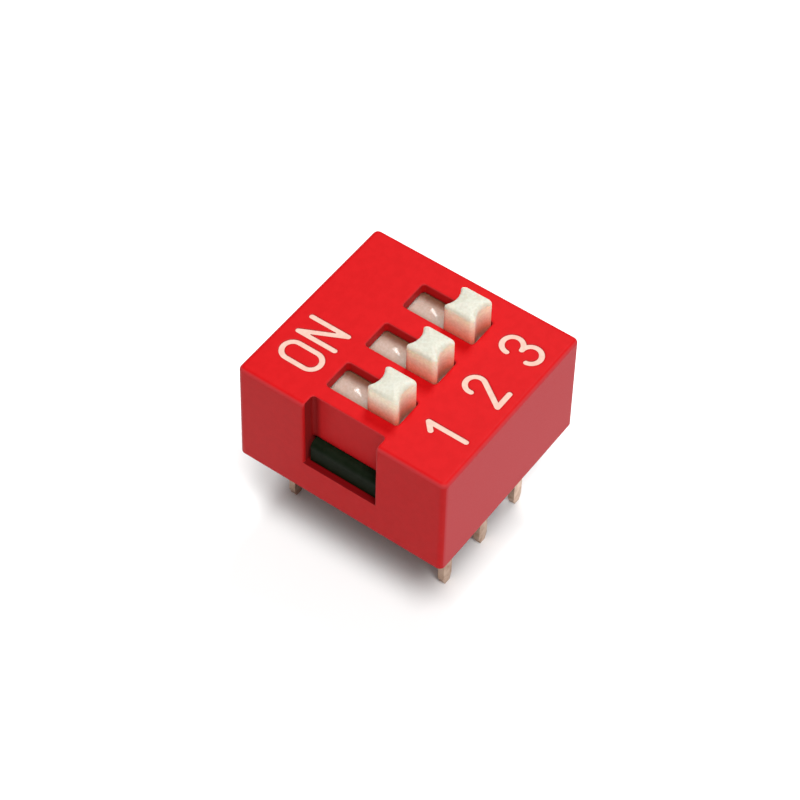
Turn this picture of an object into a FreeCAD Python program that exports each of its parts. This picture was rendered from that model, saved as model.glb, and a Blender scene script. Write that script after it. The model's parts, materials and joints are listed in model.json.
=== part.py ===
"""Three-position slide switch in a dual-in-line case, for a printed board.

A red cover snaps over a black base. Three white sliders run in the cover's slots, along Y, and
each carries a gold contact that bridges two terminals moulded into the base. The terminals come
out of the base as two rows of pins.

Frame: millimetres, Z up. The origin lies in the plane of the pin tips, under the middle of the
case. X runs along the case from position 1 to position 3, and Y runs from the row of numbers
towards the word ON. The sliders are modelled at rest, at the number side.
"""
import FreeCAD, Part
import math
import os

import Sketcher
from FreeCAD import Vector

MIDDLE = 2
POSITIONS = range(1, 2 * MIDDLE)
UP = Vector(0, 0, 1)
SAME_PLACE = 0.001
NEARLY_PARALLEL = 0.99

SIZES = (
    # Layout of the positions and the pins
    ("position_pitch", 2.54),
    ("row_spacing", 7.62),
    # Cover, a five-sided shell with a slot for each slider and a latch window in each end
    ("cover_height", 5.3),
    ("cover_lift", 0.2),
    ("cover_draft_deg", 0.44),
    ("end_overhang", 2.08),
    ("side_overhang", 1.165),
    ("end_wall", 0.945),
    ("side_wall", 0.64),
    ("top_wall", 0.5),
    ("corner_radius", 0.25),
    ("top_edge_radius", 0.2),
    ("slot_shift", 0.05),
    ("slot_corner_radius", 0.15),
    ("rim_radius", 0.05),
    ("recess_width", 3.5),
    ("recess_depth", 0.645),
    ("recess_corner_radius", 0.15),
    ("sill_height", 1.68),
    ("window_height", 1.18),
    # Base, a block with a cell for each position and a latch on each end
    ("fit_gap", 0.05),
    ("base_floor", 1.3),
    ("base_corner_radius", 0.15),
    ("cell_width", 1.5),
    ("cell_length", 6.4),
    ("latch_width", 3.2),
    ("latch_inset", 0.24),
    ("latch_lead", 0.3),
    ("latch_head_gap", 0.08),
    ("latch_catch_gap", 0.05),
    # Sliders
    ("travel", 1.87),
    ("slide_gap", 0.04),
    ("knob_side_gap", 0.03),
    ("knob_end_gap", 0.03),
    ("knob_width", 1.42),
    ("knob_length", 1.51),
    ("knob_rise", 1.35),
    ("knob_corner_radius", 0.14),
    ("knob_edge_radius", 0.1),
    ("scallop_radius", 0.85),
    ("scallop_depth", 0.2),
    ("plate_width", 1.9),
    ("plate_thickness", 0.45),
    ("plate_overlap", 0.08),
    ("carrier_side_gap", 0.05),
    ("carrier_length", 2.2),
    ("carrier_height", 1.8),
    # Moving contacts, formed from strip
    ("strip_thickness", 0.12),
    ("contact_width", 0.9),
    ("contact_crown", 0.9),
    ("contact_spread", 0.95),
    ("contact_tip_run", 0.3),
    ("contact_tip_rise", 0.35),
    ("wipe_gap", 0.02),
    # Terminals, each blanked from flat metal and bent once
    ("metal_thickness", 0.3),
    ("bend_radius", 0.15),
    ("pad_width", 1.1),
    ("pad_gap", 0.7),
    ("shoulder_depth", 0.4),
    ("pin_length", 3.85),
    ("pin_width", 0.55),
    ("pin_tip_width", 0.32),
    ("pin_taper", 0.35),
    # Legends, strokes let into the top of the cover
    ("stroke_width", 0.24),
    ("groove_depth", 0.1),
    ("ink_recess", 0.03),
    ("number_height", 1.74),
    ("number_width", 0.82),
    ("number_shift", 0.2),
    ("number_outset", 0.12),
    ("flag_width", 0.34),
    ("flag_drop", 0.32),
    ("letter_height", 1.78),
    ("letter_width", 0.9),
    ("letter_spacing", 1.4),
    ("word_inset", 0.6),
    ("word_outset", -0.045),
)

# Every length below is worked out from the sheet's sizes, as an expression
SEAT = "sizes.pin_length"
COVER_LOW = f"({SEAT} + sizes.cover_lift)"
COVER_TOP = f"({COVER_LOW} + sizes.cover_height)"
CEILING = f"({COVER_TOP} - sizes.top_wall)"
PLATE_TOP = f"({CEILING} - sizes.slide_gap)"
PLATE_LOW = f"({PLATE_TOP} - sizes.plate_thickness)"
CARRIER_LOW = f"({PLATE_LOW} - sizes.carrier_height)"
BASE_TOP = f"({PLATE_LOW} - sizes.slide_gap)"
CELL_FLOOR = f"({SEAT} + sizes.base_floor)"
SILL = f"({COVER_LOW} + sizes.sill_height)"
WINDOW_TOP = f"({SILL} + sizes.window_height)"

COVER_HALF_X = "(sizes.position_pitch + sizes.end_overhang)"
COVER_HALF_Y = "(sizes.row_spacing / 2 + sizes.side_overhang)"
CAVITY_HALF_X = f"({COVER_HALF_X} - sizes.end_wall)"
CAVITY_HALF_Y = f"({COVER_HALF_Y} - sizes.side_wall)"
BASE_HALF_X = f"({CAVITY_HALF_X} - sizes.fit_gap)"
BASE_HALF_Y = f"({CAVITY_HALF_Y} - sizes.fit_gap)"
RECESS_BACK = f"(sizes.recess_depth - {COVER_HALF_X})"

SLOT_HALF_X = "(sizes.knob_width / 2 + sizes.knob_side_gap)"
SLOT_HALF_Y = "((sizes.travel + sizes.knob_length) / 2 + sizes.knob_end_gap)"
SLOT_MIDDLE_Y = "(-sizes.slot_shift)"
SLIDER_REST_Y = f"({SLOT_MIDDLE_Y} - sizes.travel / 2)"
KNOB_TOP = f"({COVER_TOP} + sizes.knob_rise)"
PLATE_HALF_Y = f"({SLOT_HALF_Y} + sizes.plate_overlap + sizes.travel / 2)"

GROOVE_LOW = f"({COVER_TOP} - sizes.groove_depth)"
LEGEND_MIDDLE_Y = f"(({SLOT_HALF_Y} + {COVER_HALF_Y}) / 2)"

doc = FreeCAD.newDocument("slide_switch")
sheet = doc.addObject("Spreadsheet::Sheet", "sizes")
for row, (alias, number) in enumerate(SIZES, start=1):
    sheet.set(f"A{row}", alias)
    sheet.set(f"B{row}", str(number))
    sheet.setAlias(f"B{row}", alias)
doc.recompute()


def value(expression):
    """The present value of an expression, for choosing edges and for placing geometry at first."""
    return float(sheet.evalExpression(expression))


def position_x(position):
    """The place of a position's centre line along X."""
    return f"({position - MIDDLE} * sizes.position_pitch)"


def bind(item, prop, expression):
    item.setExpression(prop, expression)


def origin_plane(body, role):
    """The body's own origin plane of the given role."""
    return next(plane for plane in body.Origin.OriginFeatures if plane.Role == role)


def body_sketch(body, name, role, offset="0"):
    """An empty sketch on one of the body's origin planes, moved along that plane's normal."""
    sketch = body.newObject("Sketcher::SketchObject", name)
    sketch.AttachmentSupport = [(origin_plane(body, role), "")]
    sketch.MapMode = "FlatFace"
    bind(sketch, "AttachmentOffset.Base.z", offset)
    return sketch


def hold(sketch, kind, edge, end, expression):
    """Holds one end of an edge at a coordinate, DistanceX or DistanceY, from the sketch's origin."""
    label = f"{kind}_{edge}_{end}"
    index = sketch.addConstraint(Sketcher.Constraint(kind, -1, 1, edge, end, value(expression)))
    sketch.renameConstraint(index, label)
    bind(sketch, f"Constraints.{label}", expression)


def hold_point(sketch, edge, end, point):
    hold(sketch, "DistanceX", edge, end, point[0])
    hold(sketch, "DistanceY", edge, end, point[1])


def placed(point):
    """Where a pair of expressions puts a point at present."""
    return Vector(value(point[0]), value(point[1]), 0)


def join_ends(sketch, first_edge, first_end, second_edge, second_end):
    sketch.addConstraint(Sketcher.Constraint("Coincident", first_edge, first_end, second_edge, second_end))


def draw_lines(sketch, corners, closed=True):
    """Joins corners, each a pair of expressions, by straight lines."""
    start = sketch.GeometryCount
    count = len(corners)
    points = [placed(corner) for corner in corners]
    lines = count if closed else count - 1
    for i in range(lines):
        sketch.addGeometry(Part.LineSegment(points[i], points[(i + 1) % count]), False)
    for i in range(lines - 1):
        join_ends(sketch, start + i, 2, start + i + 1, 1)
    if closed:
        join_ends(sketch, start + lines - 1, 2, start, 1)
    for i in range(lines):
        hold_point(sketch, start + i, 1, corners[i])
    if not closed:
        hold_point(sketch, start + lines - 1, 2, corners[-1])


def draw_arc(sketch, centre, start, end):
    """An arc, counter-clockwise from start to end, held at its centre and its start.

    Its end is held by one coordinate only, the one that changes faster along the arc there.
    """
    middle = placed(centre)
    first = placed(start) - middle
    last = placed(end) - middle
    first_turn = math.atan2(first.y, first.x)
    last_turn = math.atan2(last.y, last.x)
    circle = Part.Circle(middle, UP, first.Length)
    edge = sketch.addGeometry(Part.ArcOfCircle(circle, first_turn, last_turn), False)
    hold_point(sketch, edge, 3, centre)
    hold_point(sketch, edge, 1, start)
    if abs(last.y) > abs(last.x):
        hold(sketch, "DistanceX", edge, 2, end[0])
    else:
        hold(sketch, "DistanceY", edge, 2, end[1])


def on_circle(centre, radius, degrees):
    """The point of a circle at an angle from the first axis."""
    return (f"{centre[0]} + {radius} * cos({degrees} deg)", f"{centre[1]} + {radius} * sin({degrees} deg)")


def draw_box(sketch, low_x, high_x, low_y, high_y):
    """A rectangle between two pairs of coordinates."""
    draw_lines(sketch, [(low_x, low_y), (high_x, low_y), (high_x, high_y), (low_x, high_y)])


def draw_middle_box(sketch, half_x, half_y, centre_x="0", centre_y="0"):
    """A rectangle about a centre."""
    draw_box(sketch, f"{centre_x} - {half_x}", f"{centre_x} + {half_x}",
             f"{centre_y} - {half_y}", f"{centre_y} + {half_y}")


def pad(body, sketch, name, length, backwards=False, both_ways=False):
    """Adds the sketch's outline to the body as a solid of the given length."""
    feature = body.newObject("PartDesign::Pad", name)
    feature.Profile = sketch
    feature.SideType = "Symmetric" if both_ways else "One side"
    feature.Reversed = backwards
    bind(feature, "Length", length)
    doc.recompute()
    return feature


def pocket(body, sketch, name, depth=None, backwards=False):
    """Cuts the sketch's outline out of the body, and checks that it took material away.

    With no depth the cut goes right through, both ways from the sketch.
    """
    before = body.Shape.Volume
    feature = body.newObject("PartDesign::Pocket", name)
    feature.Profile = sketch
    feature.Reversed = backwards
    if depth is None:
        feature.Type = "ThroughAll"
        feature.SideType = "Symmetric"
    else:
        bind(feature, "Length", depth)
    doc.recompute()
    if not body.Shape.Volume < before:
        raise RuntimeError(f"{name} takes nothing away")
    return feature


def near(first, second):
    return abs(first - second) < SAME_PLACE


def round_edges(body, name, radius, wanted):
    """Rounds the edges of the body's last feature that the test picks."""
    last = body.Tip
    edges = [f"Edge{i}" for i, edge in enumerate(last.Shape.Edges, start=1) if wanted(edge)]
    if not edges:
        raise RuntimeError(f"{name} finds no edge to round")
    feature = body.newObject("PartDesign::Fillet", name)
    feature.Base = (last, edges)
    bind(feature, "Radius", radius)
    doc.recompute()
    return feature


def runs_along(edge, axis):
    """Tells whether an edge is straight and lies along an axis, give or take the cover's draft."""
    way = edge.Vertexes[-1].Point - edge.Vertexes[0].Point
    return near(way.Length, edge.Length) and abs(way.dot(axis)) > NEARLY_PARALLEL * edge.Length


def at_height(edge, height):
    return all(near(vertex.Z, height) for vertex in edge.Vertexes)


def new_body(label):
    body = doc.addObject("PartDesign::Body", label)
    body.Label = label
    return body


def moulded_cover():
    """The red shell: drafted outside, hollow below, with slots and a latch window in each end.

    At the end next to position 1 the window lies in a recess that is open at the top. The slots lie a
    little nearer to the numbers than to the word.
    """
    body = new_body("cover_shell")

    outline = body_sketch(body, "cover_outline", "XY_Plane", COVER_TOP)
    draw_middle_box(outline, COVER_HALF_X, COVER_HALF_Y)
    block = pad(body, outline, "cover_block", "sizes.cover_height", backwards=True)
    bind(block, "TaperAngle", "sizes.cover_draft_deg")
    doc.recompute()
    round_edges(body, "cover_corners", "sizes.corner_radius", lambda edge: runs_along(edge, UP))

    top = value(COVER_TOP)
    round_edges(body, "cover_top_edges", "sizes.top_edge_radius", lambda edge: at_height(edge, top))

    recess = body_sketch(body, "end_recess", "XY_Plane", COVER_TOP)
    beyond = f"(-{COVER_HALF_X} - sizes.end_wall)"
    draw_box(recess, beyond, RECESS_BACK, "-sizes.recess_width / 2", "sizes.recess_width / 2")
    pocket(body, recess, "end_recess_cut", "sizes.cover_height - sizes.sill_height")
    back = value(RECESS_BACK)
    round_edges(body, "recess_corners", "sizes.recess_corner_radius",
                lambda edge: runs_along(edge, UP) and near(edge.CenterOfMass.x, back))
    round_edges(body, "recess_rim", "sizes.rim_radius",
                lambda edge: at_height(edge, top) and near(edge.CenterOfMass.x, back))

    cavity = body_sketch(body, "cover_cavity", "XY_Plane", COVER_LOW)
    draw_middle_box(cavity, CAVITY_HALF_X, CAVITY_HALF_Y)
    pocket(body, cavity, "cover_cavity_cut", "sizes.cover_height - sizes.top_wall", backwards=True)

    window = body_sketch(body, "latch_windows", "YZ_Plane")
    draw_box(window, "-sizes.recess_width / 2", "sizes.recess_width / 2", SILL, WINDOW_TOP)
    pocket(body, window, "latch_window_cut")

    slots = body_sketch(body, "slider_slots", "XY_Plane", COVER_TOP)
    for position in POSITIONS:
        draw_middle_box(slots, SLOT_HALF_X, SLOT_HALF_Y, position_x(position), SLOT_MIDDLE_Y)
    pocket(body, slots, "slider_slot_cut", "2 * sizes.top_wall")

    reach_x = value(f"sizes.position_pitch + {SLOT_HALF_X}") + SAME_PLACE
    half_y = value(SLOT_HALF_Y)
    middle_y = value(SLOT_MIDDLE_Y)

    def slot_corner(edge):
        centre = edge.CenterOfMass
        return runs_along(edge, UP) and abs(centre.x) < reach_x and near(abs(centre.y - middle_y), half_y)

    def slot_rim(edge):
        centre = edge.CenterOfMass
        within = abs(centre.x) < reach_x and abs(centre.y - middle_y) < half_y + SAME_PLACE
        return at_height(edge, top) and within

    round_edges(body, "slot_corners", "sizes.slot_corner_radius", slot_corner)
    round_edges(body, "slot_rims", "sizes.rim_radius", slot_rim)
    return body


def moulded_base():
    """The black block before its terminals are set in: cells, and a latch on each end."""
    body = new_body("base_block")

    outline = body_sketch(body, "base_outline", "XY_Plane", SEAT)
    draw_middle_box(outline, BASE_HALF_X, BASE_HALF_Y)
    pad(body, outline, "base_blank", f"{BASE_TOP} - {SEAT}")
    round_edges(body, "base_corners", "sizes.base_corner_radius", lambda edge: runs_along(edge, UP))

    root = f"({BASE_HALF_X} - sizes.fit_gap)"
    face = f"({COVER_HALF_X} - sizes.latch_inset)"
    catch = f"({SILL} + sizes.latch_catch_gap)"
    head = f"({WINDOW_TOP} - sizes.latch_head_gap)"
    latches = body_sketch(body, "latch_section", "XZ_Plane")
    draw_box(latches, root, face, catch, head)
    draw_box(latches, f"-{face}", f"-{root}", catch, head)
    pad(body, latches, "latches", "sizes.latch_width", both_ways=True)

    face_x = value(face)
    head_z = value(head)

    def leads_in(edge):
        centre = edge.CenterOfMass
        return runs_along(edge, Vector(0, 1, 0)) and near(abs(centre.x), face_x) and near(centre.z, head_z)

    round_edges(body, "latch_leads", "sizes.latch_lead", leads_in)

    cells = body_sketch(body, "contact_cells", "XY_Plane", BASE_TOP)
    for position in POSITIONS:
        draw_middle_box(cells, "sizes.cell_width / 2", "sizes.cell_length / 2", position_x(position))
    pocket(body, cells, "contact_cell_cut", f"{BASE_TOP} - {CELL_FLOOR}")
    return body


def slider(position):
    """One white slider: a plate under the cover, a scalloped knob on it, a carrier below it."""
    body = new_body(f"slider_{position}")
    bind(body, "Placement.Base.x", position_x(position))
    bind(body, "Placement.Base.y", SLIDER_REST_Y)

    plate = body_sketch(body, f"plate_outline_{position}", "XY_Plane", PLATE_LOW)
    draw_middle_box(plate, "sizes.plate_width / 2", PLATE_HALF_Y)
    pad(body, plate, f"plate_{position}", "sizes.plate_thickness")

    carrier = body_sketch(body, f"carrier_outline_{position}", "XY_Plane", CARRIER_LOW)
    draw_middle_box(carrier, "(sizes.cell_width / 2 - sizes.carrier_side_gap)", "sizes.carrier_length / 2")
    pad(body, carrier, f"carrier_{position}", "sizes.carrier_height")

    knob = body_sketch(body, f"knob_outline_{position}", "XY_Plane", PLATE_TOP)
    draw_knob(knob)
    pad(body, knob, f"knob_{position}", f"{KNOB_TOP} - {PLATE_TOP}")

    half_x = value("sizes.knob_width / 2")
    half_y = value("sizes.knob_length / 2")
    top = value(KNOB_TOP)

    def knob_corner(edge):
        centre = edge.CenterOfMass
        return runs_along(edge, UP) and near(abs(centre.x), half_x) and near(abs(centre.y), half_y)

    round_edges(body, f"knob_corners_{position}", "sizes.knob_corner_radius", knob_corner)
    round_edges(body, f"knob_rim_{position}", "sizes.knob_edge_radius", lambda edge: at_height(edge, top))
    return body


def draw_knob(sketch):
    """The knob's plan: a rectangle with a shallow finger scallop in each end."""
    half_x = "(sizes.knob_width / 2)"
    half_y = "(sizes.knob_length / 2)"
    chord = "sqrt(2 * sizes.scallop_radius * sizes.scallop_depth - sizes.scallop_depth ^ 2)"
    centre_y = f"({half_y} - sizes.scallop_depth + sizes.scallop_radius)"
    draw_arc(sketch, ("0", centre_y), (f"-{chord}", half_y), (chord, half_y))
    draw_arc(sketch, ("0", f"-{centre_y}"), (chord, f"-{half_y}"), (f"-{chord}", f"-{half_y}"))
    for side, other in (("", "-"), ("-", "")):
        draw_lines(sketch, [(f"{side}{chord}", f"{side}{half_y}"), (f"{side}{half_x}", f"{side}{half_y}"),
                            (f"{side}{half_x}", f"{other}{half_y}"), (f"{side}{chord}", f"{other}{half_y}")],
                   closed=False)


def stroke(name, draw, width, plane_turn=None):
    """A flat band of constant width, with round ends, along the line that the drawing gives."""
    line = doc.addObject("Sketcher::SketchObject", f"{name}_line")
    if plane_turn:
        line.Placement = FreeCAD.Placement(Vector(0, 0, 0), plane_turn)
    draw(line)
    band = doc.addObject("Part::Offset2D", f"{name}_band")
    band.Source = line
    band.Mode = "Pipe"
    band.Join = "Arc"
    band.Fill = True
    bind(band, "Value", f"{width} / 2")
    doc.recompute()
    return band


def thicken(name, band, way, length, both_ways=False):
    """Gives a flat band its thickness along one direction."""
    solid = doc.addObject("Part::Extrusion", name)
    solid.Base = band
    solid.FaceMakerClass = "Part::FaceMakerBullseye"
    solid.DirMode = "Custom"
    solid.Dir = way
    solid.Solid = True
    solid.Symmetric = both_ways
    bind(solid, "LengthFwd", length)
    return solid


def moving_contact(position):
    """The gold bridge under a slider: a crown against the carrier and two legs that wipe the pads."""
    crown_z = f"({CARRIER_LOW} - sizes.strip_thickness / 2)"
    wipe_z = f"({CELL_FLOOR} + sizes.wipe_gap + sizes.strip_thickness / 2)"
    tip_z = f"({wipe_z} + sizes.contact_tip_rise)"
    tip_y = "(sizes.contact_spread + sizes.contact_tip_run)"
    half = [("(sizes.contact_crown / 2)", crown_z), ("sizes.contact_spread", wipe_z), (tip_y, tip_z)]
    mirrored = [(f"-{across}", up) for across, up in reversed(half)]
    onto_yz = FreeCAD.Rotation(Vector(1, 1, 1), 120)
    name = f"moving_contact_{position}"

    def bridge(line):
        draw_lines(line, mirrored + half, closed=False)

    band = stroke(name, bridge, "sizes.strip_thickness", onto_yz)
    contact = thicken(name, band, Vector(1, 0, 0), "sizes.contact_width", both_ways=True)
    contact.Label = name
    bind(contact, "Placement.Base.x", position_x(position))
    bind(contact, "Placement.Base.y", SLIDER_REST_Y)
    return contact


def terminal(position, side_name, side):
    """A fixed terminal: a pad flush with the cell's floor, a bend, and a pin below the base.

    Side is 1 towards ON and -1 towards the numbers. The gap between a position's two pads lies
    midway between the two places where the moving contact's leading leg comes to rest.
    """
    body = new_body(f"{side_name}_terminal_{position}")
    bind(body, "Placement.Base.x", position_x(position))

    pad_end = f"({SLOT_MIDDLE_Y} + sizes.contact_spread + {side} * sizes.pad_gap / 2)"
    outer = f"({side} * (sizes.row_spacing + sizes.metal_thickness) / 2)"
    inner = f"({side} * (sizes.row_spacing - sizes.metal_thickness) / 2)"
    under = f"({CELL_FLOOR} - sizes.metal_thickness)"
    section = body_sketch(body, f"{side_name}_section_{position}", "YZ_Plane")
    draw_lines(section, [(pad_end, CELL_FLOOR), (outer, CELL_FLOOR), (outer, "0"), (inner, "0"),
                         (inner, under), (pad_end, under)])
    pad(body, section, f"{side_name}_blank_{position}", "sizes.pad_width", both_ways=True)

    for name, y, z, radius in (
            ("outside", outer, CELL_FLOOR, "sizes.bend_radius + sizes.metal_thickness"),
            ("inside", inner, under, "sizes.bend_radius")):
        bend_y = value(y)
        bend_z = value(z)

        def bends(edge):
            centre = edge.CenterOfMass
            return runs_along(edge, Vector(1, 0, 0)) and near(centre.y, bend_y) and near(centre.z, bend_z)

        round_edges(body, f"{side_name}_bend_{name}_{position}", radius, bends)

    shoulder = f"({SEAT} + sizes.shoulder_depth)"
    beyond = "(sizes.pad_width)"
    trims = body_sketch(body, f"{side_name}_pin_trims_{position}", "XZ_Plane")
    for sign in ("", "-"):
        side_x = f"{sign}sizes.pin_width / 2"
        tip_x = f"{sign}sizes.pin_tip_width / 2"
        beyond_x = f"{sign}{beyond}"
        draw_lines(trims, [(side_x, shoulder), (beyond_x, shoulder), (beyond_x, "-sizes.pin_taper"),
                           (tip_x, "-sizes.pin_taper"), (tip_x, "0"), (side_x, "sizes.pin_taper")])
    pocket(body, trims, f"{side_name}_pin_cut_{position}")
    return body


def draw_figure_one(line):
    top = "(sizes.number_height / 2)"
    flag = ("-sizes.flag_width", f"{top} - sizes.flag_drop")
    draw_lines(line, [flag, ("0", top), ("0", f"-{top}")], closed=False)


def draw_figure_two(line):
    """A bow over the top, a slanting neck, and a straight foot."""
    radius = "(sizes.number_width / 2)"
    low = "(-sizes.number_height / 2)"
    centre = ("0", f"(sizes.number_height / 2 - {radius})")
    neck = on_circle(centre, radius, -38)
    draw_arc(line, centre, neck, on_circle(centre, radius, 190))
    draw_lines(line, [neck, (f"-{radius}", low), (radius, low)], closed=False)


def draw_upper_bow(line):
    radius = "(sizes.number_height / 4)"
    centre = ("0", radius)
    draw_arc(line, centre, ("0", "0"), (f"-{radius}", radius))


def draw_lower_bow(line):
    radius = "(sizes.number_height / 4)"
    centre = ("0", f"(-{radius})")
    draw_arc(line, centre, on_circle(centre, radius, 188), ("0", "0"))


def draw_letter_n(line):
    x = "(sizes.letter_width / 2)"
    y = "(sizes.letter_height / 2)"
    draw_lines(line, [(f"-{x}", f"-{y}"), (f"-{x}", y), (x, f"-{y}"), (x, y)], closed=False)


def draw_letter_o(line, swell):
    """An upright loop with half-round ends, swollen or shrunk about the letter's own line."""
    radius = f"(sizes.letter_width / 2 + {swell})"
    straight = "((sizes.letter_height - sizes.letter_width) / 2)"
    draw_arc(line, ("0", straight), (radius, straight), (f"-{radius}", straight))
    draw_arc(line, ("0", f"-{straight}"), (f"-{radius}", f"-{straight}"), (radius, f"-{straight}"))
    for side in (radius, f"-{radius}"):
        draw_lines(line, [(side, straight), (side, f"-{straight}")], closed=False)


def legend(name, shapes, across, up):
    """One mark, made twice from the same strokes: the ink, and the groove that it lies in."""
    solids = []
    grooves = []
    for part_name, band in shapes:
        for kind, low, length, made in (
                ("ink", GROOVE_LOW, "sizes.groove_depth - sizes.ink_recess", solids),
                ("groove", GROOVE_LOW, "2 * sizes.groove_depth", grooves)):
            solid = thicken(f"{part_name}_{kind}", band, UP, length)
            bind(solid, "Placement.Base.x", across)
            bind(solid, "Placement.Base.y", up)
            bind(solid, "Placement.Base.z", low)
            made.append(solid)
    doc.recompute()
    if len(solids) > 1:
        ink = doc.addObject("Part::MultiFuse", f"{name}_joined")
        ink.Shapes = solids
    else:
        ink = solids[0]
    ink.Label = name
    return ink, grooves


def letter_o_band():
    """The O as one flat ring, between a larger and a smaller loop."""
    ring = doc.addObject("Sketcher::SketchObject", "letter_o_line")
    for swell in ("sizes.stroke_width / 2", "-sizes.stroke_width / 2"):
        draw_letter_o(ring, swell)
    return ring


def build_legends():
    """The word and the three numbers, and all the grooves that they need."""
    width = "sizes.stroke_width"
    figures = (
        [("figure_1", draw_figure_one)],
        [("figure_2", draw_figure_two)],
        [("figure_3_upper", draw_upper_bow), ("figure_3_lower", draw_lower_bow)],
    )
    marks = []
    grooves = []
    for position, figure in zip(POSITIONS, figures):
        bands = [(name, stroke(name, draw, width)) for name, draw in figure]
        across = f"{position_x(position)} + sizes.number_shift"
        up = f"-({LEGEND_MIDDLE_Y} + sizes.number_outset)"
        mark, cuts = legend(f"number_{position}", bands, across, up)
        marks.append(mark)
        grooves += cuts

    word_x = f"({position_x(POSITIONS[0])} + sizes.word_inset)"
    word_y = f"({LEGEND_MIDDLE_Y} + sizes.word_outset)"
    letters = (("letter_o", letter_o_band(), -1), ("letter_n", stroke("letter_n", draw_letter_n, width), 1))
    for name, band, side in letters:
        mark, cuts = legend(name, [(name, band)], f"{word_x} + {side} * sizes.letter_spacing / 2", word_y)
        marks.append(mark)
        grooves += cuts
    return marks, grooves


def cut_away(label, block, tools):
    """The block less a set of tools, under its own name."""
    cutter = doc.addObject("Part::MultiFuse", f"{label}_tools")
    cutter.Shapes = tools
    result = doc.addObject("Part::Cut", label)
    result.Base = block
    result.Tool = cutter
    result.Label = label
    return result


marks, grooves = build_legends()
terminals = []
for position in POSITIONS:
    terminals.append(terminal(position, "number_side", -1))
    terminals.append(terminal(position, "on_side", 1))
contacts = [moving_contact(position) for position in POSITIONS]
sliders = [slider(position) for position in POSITIONS]
cover = cut_away("cover", moulded_cover(), grooves)
base = cut_away("base", moulded_base(), terminals)
doc.recompute()

for item in doc.Objects:
    if "Invalid" in item.State or "Error" in item.State:
        raise RuntimeError(f"{item.Label} did not compute: {item.State}")

os.makedirs("parts", exist_ok=True)
for item in [cover, base] + sliders + contacts + terminals + marks:
    shape = item.Shape
    if shape.isNull() or not shape.isValid():
        raise RuntimeError(f"{item.Label} has no valid shape")
    shape.exportStep(f"parts/{item.Label}.step")
    box = shape.BoundBox
    print(f"{item.Label}: {len(shape.Solids)} solid, {shape.Volume:.3f} mm3, "
          f"z {box.ZMin:.2f} to {box.ZMax:.2f}")
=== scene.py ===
"""Looks of the three-position slide switch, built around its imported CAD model.

The cover, base, terminals, contacts and marks stay CAD pieces and get their finish here. Each slider
is replaced by a soft-edged moulded surface of the same size. Lengths in this file are millimetres and
are turned into metres where a mesh, a shader, a lamp or the camera is made.
"""

import json
import math

import bpy
import numpy as np
from mathutils import Matrix, Vector


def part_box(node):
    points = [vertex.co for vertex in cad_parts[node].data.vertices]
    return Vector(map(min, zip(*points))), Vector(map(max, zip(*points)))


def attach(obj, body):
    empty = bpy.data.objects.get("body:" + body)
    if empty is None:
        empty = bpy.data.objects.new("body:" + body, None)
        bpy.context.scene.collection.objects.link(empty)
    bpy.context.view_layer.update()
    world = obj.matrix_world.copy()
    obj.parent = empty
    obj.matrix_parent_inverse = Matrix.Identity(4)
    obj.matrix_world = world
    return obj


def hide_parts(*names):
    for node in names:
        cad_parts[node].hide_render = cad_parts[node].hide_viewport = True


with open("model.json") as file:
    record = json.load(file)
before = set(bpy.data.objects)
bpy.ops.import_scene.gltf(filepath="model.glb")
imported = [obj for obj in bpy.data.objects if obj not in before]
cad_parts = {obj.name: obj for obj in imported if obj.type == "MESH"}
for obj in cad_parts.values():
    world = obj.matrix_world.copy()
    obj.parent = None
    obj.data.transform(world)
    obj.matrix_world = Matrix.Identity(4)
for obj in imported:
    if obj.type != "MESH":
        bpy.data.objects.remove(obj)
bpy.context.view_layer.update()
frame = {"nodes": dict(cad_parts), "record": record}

MM = 0.001
POSITIONS = (1, 2, 3)
PITCH = 2.54

# The camera, as fitted to the photograph: where it looks, from which side, how far off, and its lens
AIM = (0.722, 0.894, 5.0)
AZIMUTH_DEG = -55.348
ELEVATION_DEG = 51.085
ROLL_DEG = 1.555
DISTANCE = 105.06
FOCAL_PIXELS = 2573.2
IMAGE_WIDTH = 800
SENSOR_WIDTH = 36.0
CLIP_START = 10.0
CLIP_END = 10000.0

# The sky's strength, and the floor: half its side, and its colours to the camera and to passing light
SKY_STRENGTH = 0.2
FLOOR_HALF = 1500.0
FLOOR_SEEN = (0.96, 0.96, 0.955, 1.0)
FLOOR_PASSING_ON = (0.72, 0.72, 0.715, 1.0)

# The slider's sizes beyond those of its CAD node's box: half widths along x and y, heights and roundings
CARRIER_HALF = (0.7, 1.1)
CARRIER_CORNER = 0.08
UNDERSIDE_CORNER = 0.05
PLATE_LOW = 8.36
PLATE_TOP = 8.81
PLATE_CORNER = 0.1
EDGE_ROUNDING = 0.06
KNOB_HALF = (0.71, 0.755)
KNOB_CORNER = 0.21
KNOB_ROUNDING = 0.19
KNOB_DRAFT = 0.01
KNOB_CROWN = 0.03
FOOT_FILLET = 0.03

# The scallop in each end of the knob. The rings on the plate's top take it up on their way in to the knob,
# from SCALLOP_START of the way on
SCALLOP_RADIUS = 0.85
SCALLOP_DEPTH = 0.2
SCALLOP_EASE = 0.07
SCALLOP_START = 0.55

# The sink mark in the plate on the ON side of the knob: its middle, its turn, its half sizes and its depth
DISH_CENTRE = (-0.01, 1.38)
DISH_TURN_DEG = 60.0
DISH_HALF = (0.62, 0.31)
DISH_DEPTH = 0.055

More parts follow.
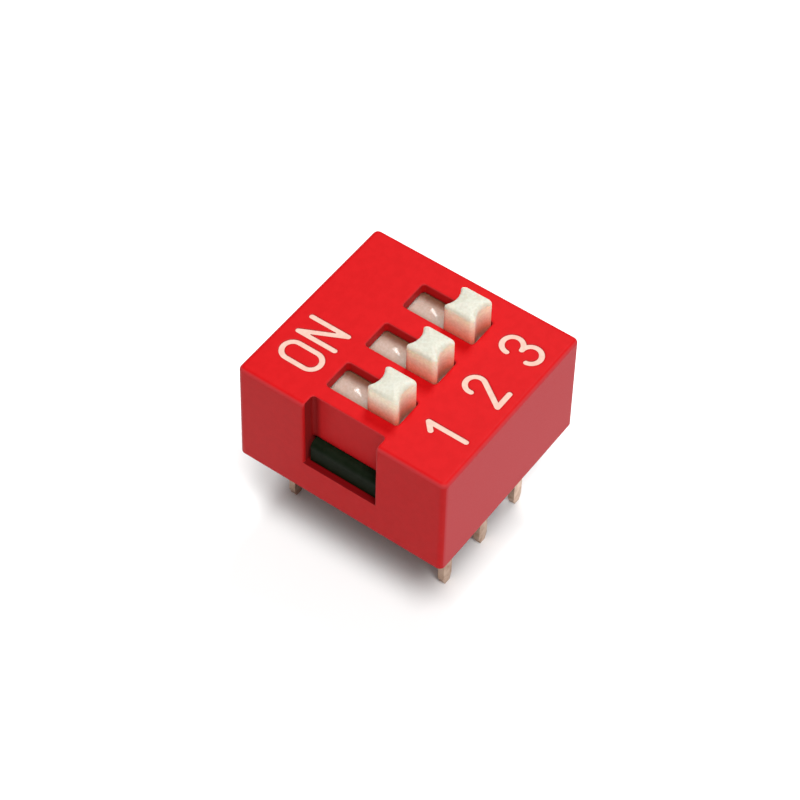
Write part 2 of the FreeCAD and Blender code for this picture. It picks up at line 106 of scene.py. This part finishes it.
# How the slider's skin is meshed: points round a ring, rings along its curved and flat parts, and how far
# across its flat parts the other rings lie
RING_POINTS = 192
EDGE_RINGS = 5
PLATE_RINGS = 40
FILLET_RINGS = 6
FLANK_RINGS = 9
ROUNDING_RINGS = 11
UNDERSIDE_SHARES = (0.25, 0.6)
CARRIER_SHARES = (0.3, 0.65, 1.0)
PLATE_UNDER_SHARES = (0.3, 0.65)
TOP_SHARES = np.array([0.93, 0.82, 0.66, 0.48, 0.3, 0.13])
SAME_HEIGHT = 1e-6
NEARLY_ZERO = 1e-9

# The slider's painted light and shade by height: painted shade on the plate and the knob's foot, painted
# warm light reflected from the red cover on its flanks, a painted highlight on its rim, and its top held
# darker where it is most lit
SLIDER_PAINTED_LIGHT = (
    (8.85, (0.45, 0.35, 0.30)),
    (8.95, (0.50, 0.18, 0.12)),
    (9.35, (0.87, 0.245, 0.155)),
    (9.9, (0.87, 0.62, 0.475)),
    (10.25, (0.95, 0.90, 0.73)),
    (10.45, (0.89, 0.87, 0.72)),
    (10.6, (0.565, 0.56, 0.485)),
    (10.68, (0.535, 0.535, 0.465)),
)

# What lies below PLATE_TINT_TOP is tinted as the plate, which takes a painted shade away from its middle
# line
PLATE_TINT_TOP = PLATE_TOP + 0.02
PLATE_PAINTED_SHADE_TINT = (0.20, 0.085, 0.05)
PLATE_SHADE_START = 0.1
PLATE_SHADE_END = 0.7

# Where the cover takes painted shade, on ledges below a height and in the end recess, and where its side
# face is made paler by a painted reflection
LEDGE_HEIGHT = 9.0
RECESS_FROM_X = -4.5
RECESS_TO_X = -3.6
RECESS_WITHIN_Y = 3.0
RECESS_CORNER_START = 1.30
RECESS_CORNER_END = 1.62
SIDE_FACE_Y = -4.5

# A face counts as facing an axis where its normal's part along it is above FACING, and as upright where its
# normal's part along z is below UPRIGHT
FACING = 0.9
UPRIGHT = 0.5

# Noise values between which a second colour comes in, and the band of z (1 - z) that marks rounded edges for
# their painted highlight
CLOUD_RANGE = (0.38, 0.62)
TARNISH_RANGE = (0.42, 0.72)
EDGE_HIGHLIGHT_BAND = (0.06, 0.24)

# The strip's draw lines, drawn out along z, and the roughness that its tarnish adds
DRAW_LINE_STRETCH = (1.0, 1.0, 0.05)
DRAW_LINE_SCALE = 22000.0
TARNISH_ROUGHNESS = 0.25
BEVEL_SAMPLES = 6

# A Mix node's sockets by what it mixes: its two terms, and its result
MIX_SOCKETS = {"FLOAT": (2, 3, 0), "RGBA": (6, 7, 2)}
COLOUR = "NodeSocketColor"
FLOAT = "NodeSocketFloat"
VECTOR = "NodeSocketVector"


def unit(amount):
    """A smooth rise from 0 to 1 and flat at both ends: three times the square less twice the cube."""
    t = np.clip(amount, 0.0, 1.0)
    return t * t * (3.0 - 2.0 * t)


def quarter(count):
    """Pairs of sine and cosine, for angles spread over a quarter turn."""
    angle = np.radians(np.linspace(0.0, 90.0, count))
    return list(zip(np.sin(angle), np.cos(angle)))


def round_a_square(count):
    """Points once round the square from -1 to 1, closer together near its corners.

    Along each side the place is sin(90 degrees times t), with t from -1 to 1, and the four sides are the
    first one turned by quarter turns.
    """
    t = np.linspace(-1.0, 1.0, count // 4, endpoint=False)
    along = np.sin(0.5 * np.pi * t)
    side = np.stack([np.ones_like(along), along], axis=1)
    turns = [np.array([[math.cos(a), math.sin(a)], [-math.sin(a), math.cos(a)]]) for a in
             (0.0, 0.5 * math.pi, math.pi, 1.5 * math.pi)]
    return np.concatenate([side @ turn for turn in turns])


def soft_min(first, second, ease):
    """The smaller of two arrays, with the crease between them eased out over a short way."""
    blend = np.clip(0.5 + 0.5 * (second - first) / ease, 0.0, 1.0)
    return second * (1.0 - blend) + first * blend - ease * blend * (1.0 - blend)


def rounded_rings(square, half_x, half_y, corner):
    """One rounded rectangle per row: the square stretched, held inside the rectangle less its corner
    radius, and pushed out again by that radius in the direction in which it was held back."""
    reach = np.stack([square[None, :, 0] * half_x[:, None], square[None, :, 1] * half_y[:, None]], axis=2)
    limit = np.stack([half_x - corner, half_y - corner], axis=1)[:, None, :]
    core = np.clip(reach, -limit, limit)
    out = reach - core
    length = np.maximum(np.linalg.norm(out, axis=2, keepdims=True), NEARLY_ZERO)
    return core + out / length * corner[:, None, None]


def mesh_of_rings(name, rings, low_pole, high_pole):
    """A closed skin: rings joined by quads, wrapped round, with a fan of triangles at each pole."""
    rows, count = rings.shape[:2]
    points = np.concatenate([rings.reshape(-1, 3), [low_pole, high_pole]]) * MM
    i = np.arange(rows - 1)[:, None] * count
    j = np.arange(count)[None, :]
    after = (j + 1) % count
    quads = np.stack([i + j, i + after, i + count + after, i + count + j], axis=2).reshape(-1, 4)
    step = np.arange(count)
    following = (step + 1) % count
    last = (rows - 1) * count
    low_fan = np.stack([following, step, np.full(count, rows * count)], axis=1)
    high_fan = np.stack([last + step, last + following, np.full(count, rows * count + 1)], axis=1)
    mesh = bpy.data.meshes.new(name)
    mesh.from_pydata(points.tolist(), [], quads.tolist() + low_fan.tolist() + high_fan.tolist())
    mesh.shade_smooth()
    mesh.validate()
    piece = bpy.data.objects.new(name, mesh)
    bpy.context.scene.collection.objects.link(piece)
    return piece


def slider_rings(low, high):
    """The slider as rows of rings, from the carrier's underside up to the knob's top.

    Row by row the ring is a rounded rectangle with two half widths. It goes out over the carrier, out again
    over the plate, in along the plate's top, and up round the knob, where each end is drawn in by a
    scallop, the circle of SCALLOP_RADIUS that bites SCALLOP_DEPTH deep.
    """
    plate_half = ((high[0] - low[0]) / 2, (high[1] - low[1]) / 2)
    foot = [h + FOOT_FILLET for h in KNOB_HALF]
    rows = []

    def ring(z, half_x, half_y, corner, scallop=0.0, inset=0.0):
        rows.append((z, half_x, half_y, corner, scallop, inset))

    def less(halves, amount):
        return [h - amount for h in halves]

    def between(first, second, share):
        return [a * (1 - share) + b * share for a, b in zip(first, second)]

    for share in UNDERSIDE_SHARES:
        ring(low[2], *(h * share for h in CARRIER_HALF), UNDERSIDE_CORNER)
    for s, c in quarter(EDGE_RINGS):
        ring(low[2] + EDGE_ROUNDING * (1 - c), *less(CARRIER_HALF, EDGE_ROUNDING * (1 - s)), CARRIER_CORNER)
    side_low = low[2] + EDGE_ROUNDING
    for share in CARRIER_SHARES:
        ring(side_low + (PLATE_LOW - side_low) * share, *CARRIER_HALF, CARRIER_CORNER)
    for share in PLATE_UNDER_SHARES:
        ring(PLATE_LOW, *between(CARRIER_HALF, less(plate_half, EDGE_ROUNDING), share), CARRIER_CORNER)
    for s, c in quarter(EDGE_RINGS):
        ring(PLATE_LOW + EDGE_ROUNDING * (1 - c), *less(plate_half, EDGE_ROUNDING * (1 - s)), PLATE_CORNER)
    for s, c in quarter(EDGE_RINGS):
        ring(PLATE_TOP - EDGE_ROUNDING * (1 - s), *less(plate_half, EDGE_ROUNDING * (1 - c)), PLATE_CORNER)
    for share in np.linspace(0.0, 1.0, PLATE_RINGS)[1:]:
        corner = PLATE_CORNER + (KNOB_CORNER + FOOT_FILLET - PLATE_CORNER) * share
        scallop = float(unit((share - SCALLOP_START) / (1.0 - SCALLOP_START)))
        ring(PLATE_TOP, *between(less(plate_half, EDGE_ROUNDING), foot, share), corner, scallop,
             -FOOT_FILLET * share)
    for s, c in quarter(FILLET_RINGS)[1:]:
        grow = FOOT_FILLET * (1 - s)
        ring(PLATE_TOP + FOOT_FILLET * (1 - c), *less(KNOB_HALF, -grow), KNOB_CORNER + grow, 1.0, -grow)
    flank_low = PLATE_TOP + FOOT_FILLET
    shoulder = high[2] - KNOB_CROWN - KNOB_ROUNDING
    for share in np.linspace(0.0, 1.0, FLANK_RINGS)[1:]:
        draft = KNOB_DRAFT * share
        ring(flank_low + (shoulder - flank_low) * share, *less(KNOB_HALF, draft), KNOB_CORNER, 1.0, draft)
    for s, c in quarter(ROUNDING_RINGS)[1:]:
        inset = KNOB_DRAFT + KNOB_ROUNDING * (1 - c)
        ring(shoulder + KNOB_ROUNDING * s, *less(KNOB_HALF, inset), KNOB_CORNER, 1.0, inset)

    z, half_x, half_y, corner, scallop, inset = (np.array(column) for column in zip(*rows))
    plan = rounded_rings(round_a_square(RING_POINTS), half_x, half_y, corner)
    x = plan[..., 0]
    y = scalloped(x, plan[..., 1], scallop[:, None], (SCALLOP_RADIUS + inset)[:, None])
    height = np.broadcast_to(z[:, None], x.shape)
    share = TOP_SHARES[:, None]
    x = np.concatenate([x, x[-1] * share])
    y = np.concatenate([y, y[-1] * share])
    crown = np.broadcast_to(high[2] - KNOB_CROWN * share ** 2, (len(TOP_SHARES), x.shape[1]))
    return x, y, np.concatenate([height, crown])


def scalloped(x, y, share, radius):
    """Draws each ring's ends in to the scallop's circle, by as much as the row's share of it."""
    centre = KNOB_HALF[1] - SCALLOP_DEPTH + SCALLOP_RADIUS
    bite = centre - np.sqrt(np.maximum(radius ** 2 - x ** 2, 0.0))
    drawn = soft_min(np.abs(y), bite, SCALLOP_EASE)
    drawn = np.where(np.abs(x) < radius, drawn, np.abs(y))
    return np.sign(y) * (np.abs(y) * (1 - share) + drawn * share)


def dish(x, y):
    """Depth of the two sink marks in the plate, the same when turned half round.

    Each is DISH_DEPTH (1 - u^2 - v^2)^2, with u and v from its centre, along and across its length.
    """
    side = np.where(y < 0.0, -1.0, 1.0)
    along = math.radians(DISH_TURN_DEG)
    from_x = x * side - DISH_CENTRE[0]
    from_y = y * side - DISH_CENTRE[1]
    u = (from_x * math.cos(along) + from_y * math.sin(along)) / DISH_HALF[0]
    v = (from_y * math.cos(along) - from_x * math.sin(along)) / DISH_HALF[1]
    return DISH_DEPTH * np.maximum(1.0 - u ** 2 - v ** 2, 0.0) ** 2


def slider_skin(position):
    """One white slider: the rings of slider_rings about its node's middle, less the dish in its plate."""
    node = f"slider_{position}"
    low, high = (np.array(corner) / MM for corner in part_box(node))
    middle = (low + high) / 2
    x, y, height = slider_rings(low, high)
    height = height - np.where(np.abs(height - PLATE_TOP) < SAME_HEIGHT, dish(x, y), 0.0)
    rings = np.stack([x + middle[0], y + middle[1], height], axis=2)
    skin = mesh_of_rings(f"slider_skin_{position}", rings, (middle[0], middle[1], low[2]),
                         (middle[0], middle[1], high[2]))
    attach(skin, node)
    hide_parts(node)
    return skin


def add(tree, kind, **settings):
    """One shader node, with its own settings and the values or links of its sockets."""
    node = tree.nodes.new(kind)
    for name, setting in settings.items():
        if hasattr(node, name):
            setattr(node, name, setting)
        else:
            feed(tree, node.inputs[name.replace("_", " ")], setting)
    return node


def feed(tree, socket, source):
    """Links a socket to another one, or sets it to a plain value."""
    if isinstance(source, bpy.types.NodeSocket):
        tree.links.new(source, socket)
    else:
        socket.default_value = source


def arithmetic(tree, operation, *terms, clamp=False):
    """One Math node's result."""
    node = add(tree, "ShaderNodeMath", operation=operation, use_clamp=clamp)
    for socket, term in zip(node.inputs, terms):
        feed(tree, socket, term)
    return node.outputs["Value"]


def mixed(tree, share, first, second, kind="RGBA", blend="MIX"):
    """One Mix node's result, where the first colour or number turns to the second by a share."""
    node = add(tree, "ShaderNodeMix", data_type=kind, blend_type=blend, Factor=share)
    first_in, second_in, result = MIX_SOCKETS[kind]
    feed(tree, node.inputs[first_in], first)
    feed(tree, node.inputs[second_in], second)
    return node.outputs[result]


def ranged(tree, value, low, high, kind="LINEAR"):
    """A value's place between two others, from 0 to 1."""
    node = add(tree, "ShaderNodeMapRange", interpolation_type=kind, Value=value, From_Min=low, From_Max=high)
    return node.outputs["Result"]


def noise(tree, vector, scale, detail, roughness):
    """A soft noise between 0 and 1."""
    node = add(tree, "ShaderNodeTexNoise", Vector=vector, Scale=scale, Detail=detail, Roughness=roughness)
    return node.outputs["Fac"]


def parts(tree, vector):
    """A vector's parts along x, y and z."""
    node = add(tree, "ShaderNodeSeparateXYZ", Vector=vector)
    return [node.outputs[axis] for axis in "XYZ"]


def raised(tree, height, distance, edge_radius):
    """The bevelled normal, and the same with a relief of the given height on it."""
    soft = add(tree, "ShaderNodeBevel", samples=BEVEL_SAMPLES, Radius=edge_radius).outputs["Normal"]
    relief = add(tree, "ShaderNodeBump", Strength=1.0, Distance=distance, Height=height, Normal=soft)
    return soft, relief.outputs["Normal"]


def new_group(name, inputs, outputs):
    """An empty shader group with the given sockets, what it is given, and what it gives."""
    group = bpy.data.node_groups.new(name, "ShaderNodeTree")
    for socket, kind, start in inputs:
        made = group.interface.new_socket(socket, in_out="INPUT", socket_type=kind)
        made.default_value = start
    for socket, kind in outputs:
        group.interface.new_socket(socket, in_out="OUTPUT", socket_type=kind)
    return group, group.nodes.new("NodeGroupInput").outputs, group.nodes.new("NodeGroupOutput").inputs


def moulded_grain_and_edge_highlight_group():
    """Moulded plastic: a cloudy tint, a fine skin grain, edges softened by a bevelled normal, and a painted
    highlight on rounded edges.

    The tint mixes Colour and Cloud Colour by a soft noise. Grain is a second, finer noise that moves
    the roughness and the height of the skin. Rounded upper edges take a painted highlight in the edge
    colour, by the edge share, where z (1 - z) of the softened normal is large.
    """
    group, given, out = new_group(
        "moulded_grain_and_edge_highlight",
        (("Colour", COLOUR, (0.5, 0.5, 0.5, 1.0)),
         ("Cloud Colour", COLOUR, (0.4, 0.4, 0.4, 1.0)),
         ("Cloud Scale", FLOAT, 1500.0),
         ("Grain Scale", FLOAT, 12000.0),
         ("Grain Height", FLOAT, 0.002 * MM),
         ("Roughness", FLOAT, 0.4),
         ("Roughness Spread", FLOAT, 0.1),
         ("Edge Radius", FLOAT, 0.04 * MM),
         ("Edge Highlight Colour", COLOUR, (0.5, 0.5, 0.5, 1.0)),
         ("Edge Highlight Share", FLOAT, 0.0)),
        (("Colour", COLOUR), ("Roughness", FLOAT), ("Normal", VECTOR)))
    place = add(group, "ShaderNodeTexCoord").outputs["Object"]
    cloud = noise(group, place, given["Cloud Scale"], 3.0, 0.55)
    tint = mixed(group, ranged(group, cloud, *CLOUD_RANGE), given["Colour"], given["Cloud Colour"])
    grain = noise(group, place, given["Grain Scale"], 2.0, 0.6)
    spread = arithmetic(group, "SUBTRACT", grain, 0.5)
    rough = arithmetic(group, "MULTIPLY_ADD", spread, given["Roughness Spread"], given["Roughness"],
                       clamp=True)
    soft, skin = raised(group, grain, given["Grain Height"], given["Edge Radius"])
    # Painted highlight: rounded upper edges turn to the edge colour by the edge share
    upward = parts(group, soft)[2]
    bend = arithmetic(group, "MULTIPLY", upward, arithmetic(group, "SUBTRACT", 1.0, upward))
    band = ranged(group, bend, *EDGE_HIGHLIGHT_BAND, kind="SMOOTHSTEP")
    edge_highlight = arithmetic(group, "MULTIPLY", band, given["Edge Highlight Share"])
    feed(group, out["Colour"], mixed(group, edge_highlight, tint, given["Edge Highlight Colour"]))
    feed(group, out["Roughness"], rough)
    feed(group, out["Normal"], skin)
    return group


def painted_light_by_height_group():
    """The slider's painted light and shade by height, from its table of heights and colours, times its own
    mottled colour.

    On the plate the colour turns to a painted shade away from the middle line of the nearest position. That
    distance is the triangle wave of x between the middle lines.
    """
    group, given, out = new_group(
        "painted_light_by_height",
        (("Colour", COLOUR, (0.8, 0.8, 0.8, 1.0)),
         ("Plate Painted Shade", COLOUR, (0.1, 0.1, 0.1, 1.0)),
         ("Side Start", FLOAT, 0.1 * MM),
         ("Side End", FLOAT, 0.7 * MM),
         ("Roughness", FLOAT, 0.4),
         ("Plate Roughness", FLOAT, 0.2)),
        (("Colour", COLOUR), ("Roughness", FLOAT)))
    place = add(group, "ShaderNodeTexCoord").outputs["Object"]
    x, _, z = parts(group, place)
    low, high = SLIDER_PAINTED_LIGHT[0][0], SLIDER_PAINTED_LIGHT[-1][0]
    # Painted light and shade by height: the ramp's colours stand in for light and shade on the slider
    ramp = add(group, "ShaderNodeValToRGB", Fac=ranged(group, z, low * MM, high * MM))
    stops = ramp.color_ramp.elements
    while len(stops) < len(SLIDER_PAINTED_LIGHT):
        stops.new(0.5)
    for stop, (height, tint) in zip(stops, SLIDER_PAINTED_LIGHT):
        stop.position = (height - low) / (high - low)
        stop.color = (*tint, 1.0)
    # Painted shade on the plate, growing away from the nearest slider's middle line
    aside = arithmetic(group, "PINGPONG", x, PITCH / 2 * MM)
    outward = ranged(group, aside, given["Side Start"], given["Side End"], kind="SMOOTHSTEP")
    on_plate = arithmetic(group, "LESS_THAN", z, PLATE_TINT_TOP * MM)
    share = arithmetic(group, "MULTIPLY", outward, on_plate)
    shaded = mixed(group, share, ramp.outputs["Color"], given["Plate Painted Shade"])
    feed(group, out["Colour"], mixed(group, 1.0, shaded, given["Colour"], blend="MULTIPLY"))
    rough = mixed(group, on_plate, given["Roughness"], given["Plate Roughness"], kind="FLOAT")
    feed(group, out["Roughness"], rough)
    return group


def painted_shade_and_reflection_group():
    """Two kinds of face take a painted shade and one a painted reflection, told apart by their normal and
    their place.

    Ledges below Ledge Height that face up take a painted shade. So does the end recess, which lies between
    Recess From and Recess To along x and within Recess Width of y = 0: its side walls, and its upright back
    from Corner
    Start to Corner End along y by a smooth step. The side face beyond Side Y is made paler by a painted
    reflection.
    """
    group, given, out = new_group(
        "painted_shade_and_reflection",
        (("Colour", COLOUR, (0.5, 0.5, 0.5, 1.0)),
         ("Ledge Painted Shade", COLOUR, (0.1, 0.1, 0.1, 1.0)),
         ("Ledge Height", FLOAT, 9.0 * MM),
         ("Recess Painted Shade", COLOUR, (0.1, 0.1, 0.1, 1.0)),
         ("Recess From", FLOAT, -4.5 * MM),
         ("Recess To", FLOAT, -3.6 * MM),
         ("Recess Width", FLOAT, 3.0 * MM),
         ("Corner Start", FLOAT, 1.3 * MM),
         ("Corner End", FLOAT, 1.6 * MM),
         ("Side Painted Reflection", COLOUR, (0.5, 0.5, 0.5, 1.0)),
         ("Side Y", FLOAT, -4.5 * MM)),
        (("Colour", COLOUR),))

    def above(value, limit):
        return arithmetic(group, "GREATER_THAN", value, limit)

    def below(value, limit):
        return arithmetic(group, "LESS_THAN", value, limit)

    def both(first, second):
        return arithmetic(group, "MULTIPLY", first, second)

    place = add(group, "ShaderNodeTexCoord")
    x, y, z = parts(group, place.outputs["Object"])
    _, facing_y, facing_z = parts(group, place.outputs["Normal"])
    along_y = above(arithmetic(group, "ABSOLUTE", facing_y), FACING)
    # Painted shade on ledges that face up below the ledge height
    ledge = both(above(facing_z, FACING), below(z, given["Ledge Height"]))
    # Painted shade in the end recess: its side walls, and its back near the far corner
    along_recess = both(above(x, given["Recess From"]), below(x, given["Recess To"]))
    in_recess = both(along_recess, below(arithmetic(group, "ABSOLUTE", y), given["Recess Width"]))
    corner = ranged(group, y, given["Corner Start"], given["Corner End"], kind="SMOOTHSTEP")
    shaded_wall = arithmetic(group, "MAXIMUM", along_y, corner)
    recess = both(both(in_recess, below(facing_z, UPRIGHT)), shaded_wall)
    # Painted reflection that makes the side face paler
    side = both(below(y, given["Side Y"]), along_y)
    colour = given["Colour"]
    for mask, tint in ((ledge, "Ledge Painted Shade"), (recess, "Recess Painted Shade"), (side, "Side Painted Reflection")):
        colour = mixed(group, mask, colour, given[tint])
    feed(group, out["Colour"], colour)
    return group


def strip_metal_group():
    """Plated strip: fine draw lines along the part's height, a dull cloudy tarnish, softened edges."""
    group, given, out = new_group(
        "strip_metal",
        (("Colour", COLOUR, (0.8, 0.6, 0.4, 1.0)),
         ("Tarnish", COLOUR, (0.4, 0.3, 0.2, 1.0)),
         ("Tarnish Scale", FLOAT, 1800.0),
         ("Line Height", FLOAT, 0.002 * MM),
         ("Roughness", FLOAT, 0.35),
         ("Edge Radius", FLOAT, 0.03 * MM)),
        (("Colour", COLOUR), ("Roughness", FLOAT), ("Normal", VECTOR)))
    place = add(group, "ShaderNodeTexCoord").outputs["Object"]
    share = ranged(group, noise(group, place, given["Tarnish Scale"], 4.0, 0.6), *TARNISH_RANGE)
    stretched = add(group, "ShaderNodeMapping", Vector=place, Scale=DRAW_LINE_STRETCH).outputs["Vector"]
    lines = noise(group, stretched, DRAW_LINE_SCALE, 2.0, 0.5)
    rough = arithmetic(group, "MULTIPLY_ADD", share, TARNISH_ROUGHNESS, given["Roughness"], clamp=True)
    feed(group, out["Colour"], mixed(group, share, given["Colour"], given["Tarnish"]))
    feed(group, out["Roughness"], rough)
    feed(group, out["Normal"], raised(group, lines, given["Line Height"], given["Edge Radius"])[1])
    return group


def new_material(name):
    """A material with nodes, its node tree and its Principled shader's sockets."""
    material = bpy.data.materials.new(name)
    material.use_nodes = True
    tree = material.node_tree
    return material, tree, tree.nodes["Principled BSDF"].inputs


def use_group(tree, group, given):
    """A node that puts a group to use in a material, with the values that the material gives it."""
    effect = add(tree, "ShaderNodeGroup", node_tree=group)
    for socket, setting in given.items():
        effect.inputs[socket].default_value = setting
    return effect


def finish(name, group, given, shader):
    """A material: one group's colour, roughness and normal on a Principled shader of its own."""
    material, tree, surface = new_material(name)
    effect = use_group(tree, group, given)
    for socket, setting in shader.items():
        surface[socket].default_value = setting
    for own, socket in (("Base Color", "Colour"), ("Roughness", "Roughness"), ("Normal", "Normal")):
        feed(tree, surface[own], effect.outputs[socket])
    return material


def overlay(material, group, given, pairs):
    """Puts a group between some of the shader's sockets and what feeds them now."""
    tree = material.node_tree
    surface = tree.nodes["Principled BSDF"].inputs
    effect = use_group(tree, group, given)
    for own, socket in pairs:
        feed(tree, effect.inputs[socket], surface[own].links[0].from_socket)
        feed(tree, surface[own], effect.outputs[socket])


def dress(piece, material):
    """Puts one material on a piece, in place of what it had."""
    if piece.material_slots:
        for index in range(len(piece.material_slots)):
            piece.material_slots[index].material = material
    else:
        piece.data.materials.append(material)


def direction(azimuth_deg, elevation_deg):
    """The way from the object to a place: azimuth 0 is the numbers' side, and 90 is position 3's end."""
    azimuth, elevation = math.radians(azimuth_deg), math.radians(elevation_deg)
    return Vector((math.sin(azimuth) * math.cos(elevation), -math.cos(azimuth) * math.cos(elevation),
                   math.sin(elevation)))


def camera():
    """The photograph's camera, from its azimuth, elevation, roll and distance."""
    back = direction(AZIMUTH_DEG, ELEVATION_DEG)
    roll = math.radians(ROLL_DEG)
    level = Vector((0, 0, 1)).cross(back).normalized()
    upright = back.cross(level)
    right = math.cos(roll) * level + math.sin(roll) * upright
    up = -math.sin(roll) * level + math.cos(roll) * upright
    data = bpy.data.cameras.new("photo_camera")
    data.sensor_width = SENSOR_WIDTH
    data.lens = FOCAL_PIXELS / IMAGE_WIDTH * SENSOR_WIDTH
    data.clip_start = CLIP_START * MM
    data.clip_end = CLIP_END * MM
    eye = bpy.data.objects.new("photo_camera", data)
    place = (Vector(AIM) + back * DISTANCE) * MM
    eye.matrix_world = Matrix.Translation(place) @ Matrix((right, up, back)).transposed().to_4x4()
    bpy.context.scene.collection.objects.link(eye)
    bpy.context.scene.camera = eye


def lamp(name, azimuth_deg, elevation_deg, distance, side, power):
    """A square soft box that faces the object from one side."""
    away = direction(azimuth_deg, elevation_deg)
    data = bpy.data.lights.new(name, "AREA")
    data.shape = "RECTANGLE"
    data.size = side * MM
    data.size_y = side * MM
    data.energy = power
    light = bpy.data.objects.new(name, data)
    light.location = away * distance * MM
    light.rotation_mode = "QUATERNION"
    light.rotation_quaternion = away.to_track_quat("Z", "Y")
    bpy.context.scene.collection.objects.link(light)


def sky(strength):
    """An even, plain sky."""
    world = bpy.data.worlds.new("studio")
    world.use_nodes = True
    background = world.node_tree.nodes["Background"]
    background.inputs["Color"].default_value = (1.0, 1.0, 1.0, 1.0)
    background.inputs["Strength"].default_value = strength
    bpy.context.scene.world = world


def floor():
    """A plain white floor under the pin tips, a little darker where it only passes light on."""
    half = FLOOR_HALF * MM
    corners = [(-half, -half, 0), (half, -half, 0), (half, half, 0), (-half, half, 0)]
    mesh = bpy.data.meshes.new("floor")
    mesh.from_pydata(corners, [], [(0, 1, 2, 3)])
    ground = bpy.data.objects.new("floor", mesh)
    bpy.context.scene.collection.objects.link(ground)
    material, tree, surface = new_material("white_floor")
    surface["Roughness"].default_value = 0.9
    surface["Specular IOR Level"].default_value = 0.1
    path = add(tree, "ShaderNodeLightPath").outputs
    straight = arithmetic(tree, "ADD", path["Is Camera Ray"], path["Is Glossy Ray"])
    seen = arithmetic(tree, "ADD", straight, path["Is Transmission Ray"], clamp=True)
    feed(tree, surface["Base Color"], mixed(tree, seen, FLOOR_PASSING_ON, FLOOR_SEEN))
    mesh.materials.append(material)


grain = moulded_grain_and_edge_highlight_group()
strip = strip_metal_group()
painted_light_by_height = painted_light_by_height_group()
painted_shade_and_reflection = painted_shade_and_reflection_group()

# The cover's rounded upper edges take a painted highlight in its edge colour
red_cover = finish("red_cover", grain, {
    "Colour": (0.48, 0.0022, 0.0040, 1.0), "Cloud Colour": (0.455, 0.0014, 0.0030, 1.0),
    "Cloud Scale": 2600.0, "Grain Scale": 16000.0, "Grain Height": 0.0025 * MM,
    "Roughness": 0.5, "Roughness Spread": 0.12,
    "Edge Radius": 0.12 * MM, "Edge Highlight Colour": (0.47, 0.045, 0.050, 1.0), "Edge Highlight Share": 0.6,
}, {"Specular IOR Level": 0.09, "Sheen Weight": 0.035, "Sheen Roughness": 0.4,
    "Sheen Tint": (1.0, 0.85, 0.85, 1.0)})
# Painted shade on the cover's low ledges and in its end recess, and a painted reflection on its side face
overlay(red_cover, painted_shade_and_reflection, {
    "Ledge Painted Shade": (0.15, 0.001, 0.002, 1.0), "Ledge Height": LEDGE_HEIGHT * MM,
    "Recess Painted Shade": (0.21, 0.0003, 0.0005, 1.0), "Recess From": RECESS_FROM_X * MM,
    "Recess To": RECESS_TO_X * MM, "Recess Width": RECESS_WITHIN_Y * MM,
    "Corner Start": RECESS_CORNER_START * MM, "Corner End": RECESS_CORNER_END * MM,
    "Side Painted Reflection": (0.495, 0.024, 0.032, 1.0), "Side Y": SIDE_FACE_Y * MM,
}, (("Base Color", "Colour"),))
black_base = finish("black_base", grain, {
    "Colour": (0.0045, 0.0080, 0.0030, 1.0), "Cloud Colour": (0.007, 0.011, 0.005, 1.0),
    "Cloud Scale": 2500.0, "Grain Scale": 14000.0, "Grain Height": 0.003 * MM,
    "Roughness": 0.5, "Roughness Spread": 0.15, "Edge Radius": 0.04 * MM,
}, {"Specular IOR Level": 0.04})
white_slider = finish("white_slider", grain, {
    "Colour": (1.0, 1.0, 1.0, 1.0), "Cloud Colour": (0.90, 0.88, 0.85, 1.0),
    "Cloud Scale": 9500.0, "Grain Scale": 12000.0, "Grain Height": 0.003 * MM,
    "Roughness": 0.45, "Roughness Spread": 0.15, "Edge Radius": 0.02 * MM,
}, {"Specular IOR Level": 0.32, "Subsurface Weight": 0.9, "Subsurface Radius": (1.0, 0.62, 0.48),
    "Subsurface Scale": 0.5 * MM})
# The sliders get painted light and shade by height, and a painted shade on the plate away from each slider's
# middle line
overlay(white_slider, painted_light_by_height, {
    "Plate Painted Shade": (*PLATE_PAINTED_SHADE_TINT, 1.0), "Side Start": PLATE_SHADE_START * MM,
    "Side End": PLATE_SHADE_END * MM, "Plate Roughness": 0.15,
}, (("Base Color", "Colour"), ("Roughness", "Roughness")))
legend_ink = finish("legend_ink", grain, {
    "Colour": (0.62, 0.43, 0.35, 1.0), "Cloud Colour": (0.60, 0.37, 0.30, 1.0),
    "Cloud Scale": 5000.0, "Grain Scale": 20000.0, "Grain Height": 0.004 * MM,
    "Roughness": 0.6, "Roughness Spread": 0.2, "Edge Radius": 0.03 * MM,
}, {"Specular IOR Level": 0.2})
terminal_metal = finish("terminal_metal", strip, {
    "Colour": (0.60, 0.43, 0.32, 1.0), "Tarnish": (0.38, 0.22, 0.14, 1.0), "Roughness": 0.32,
}, {"Metallic": 0.85})
gold_contact = finish("gold_contact", strip, {
    "Colour": (0.95, 0.68, 0.28, 1.0), "Tarnish": (0.8, 0.5, 0.2, 1.0), "Roughness": 0.2,
}, {"Metallic": 1.0})

FINISHES = {"red_cover": red_cover, "black_base": black_base, "white_slider": white_slider,
            "legend_ink": legend_ink, "terminal_metal": terminal_metal, "gold_contact": gold_contact}
for row in frame["record"]["subparts"]:
    dress(frame["nodes"][row["node"]], FINISHES[row["material_slot"]])
for position in POSITIONS:
    dress(slider_skin(position), white_slider)

floor()
sky(SKY_STRENGTH)
lamp("front", azimuth_deg=-40.0, elevation_deg=68.0, distance=260.0, side=110.0, power=0.66)
lamp("behind", azimuth_deg=100.0, elevation_deg=62.0, distance=260.0, side=80.0, power=0.42)
camera()
bpy.context.scene.view_settings.view_transform = "Standard"
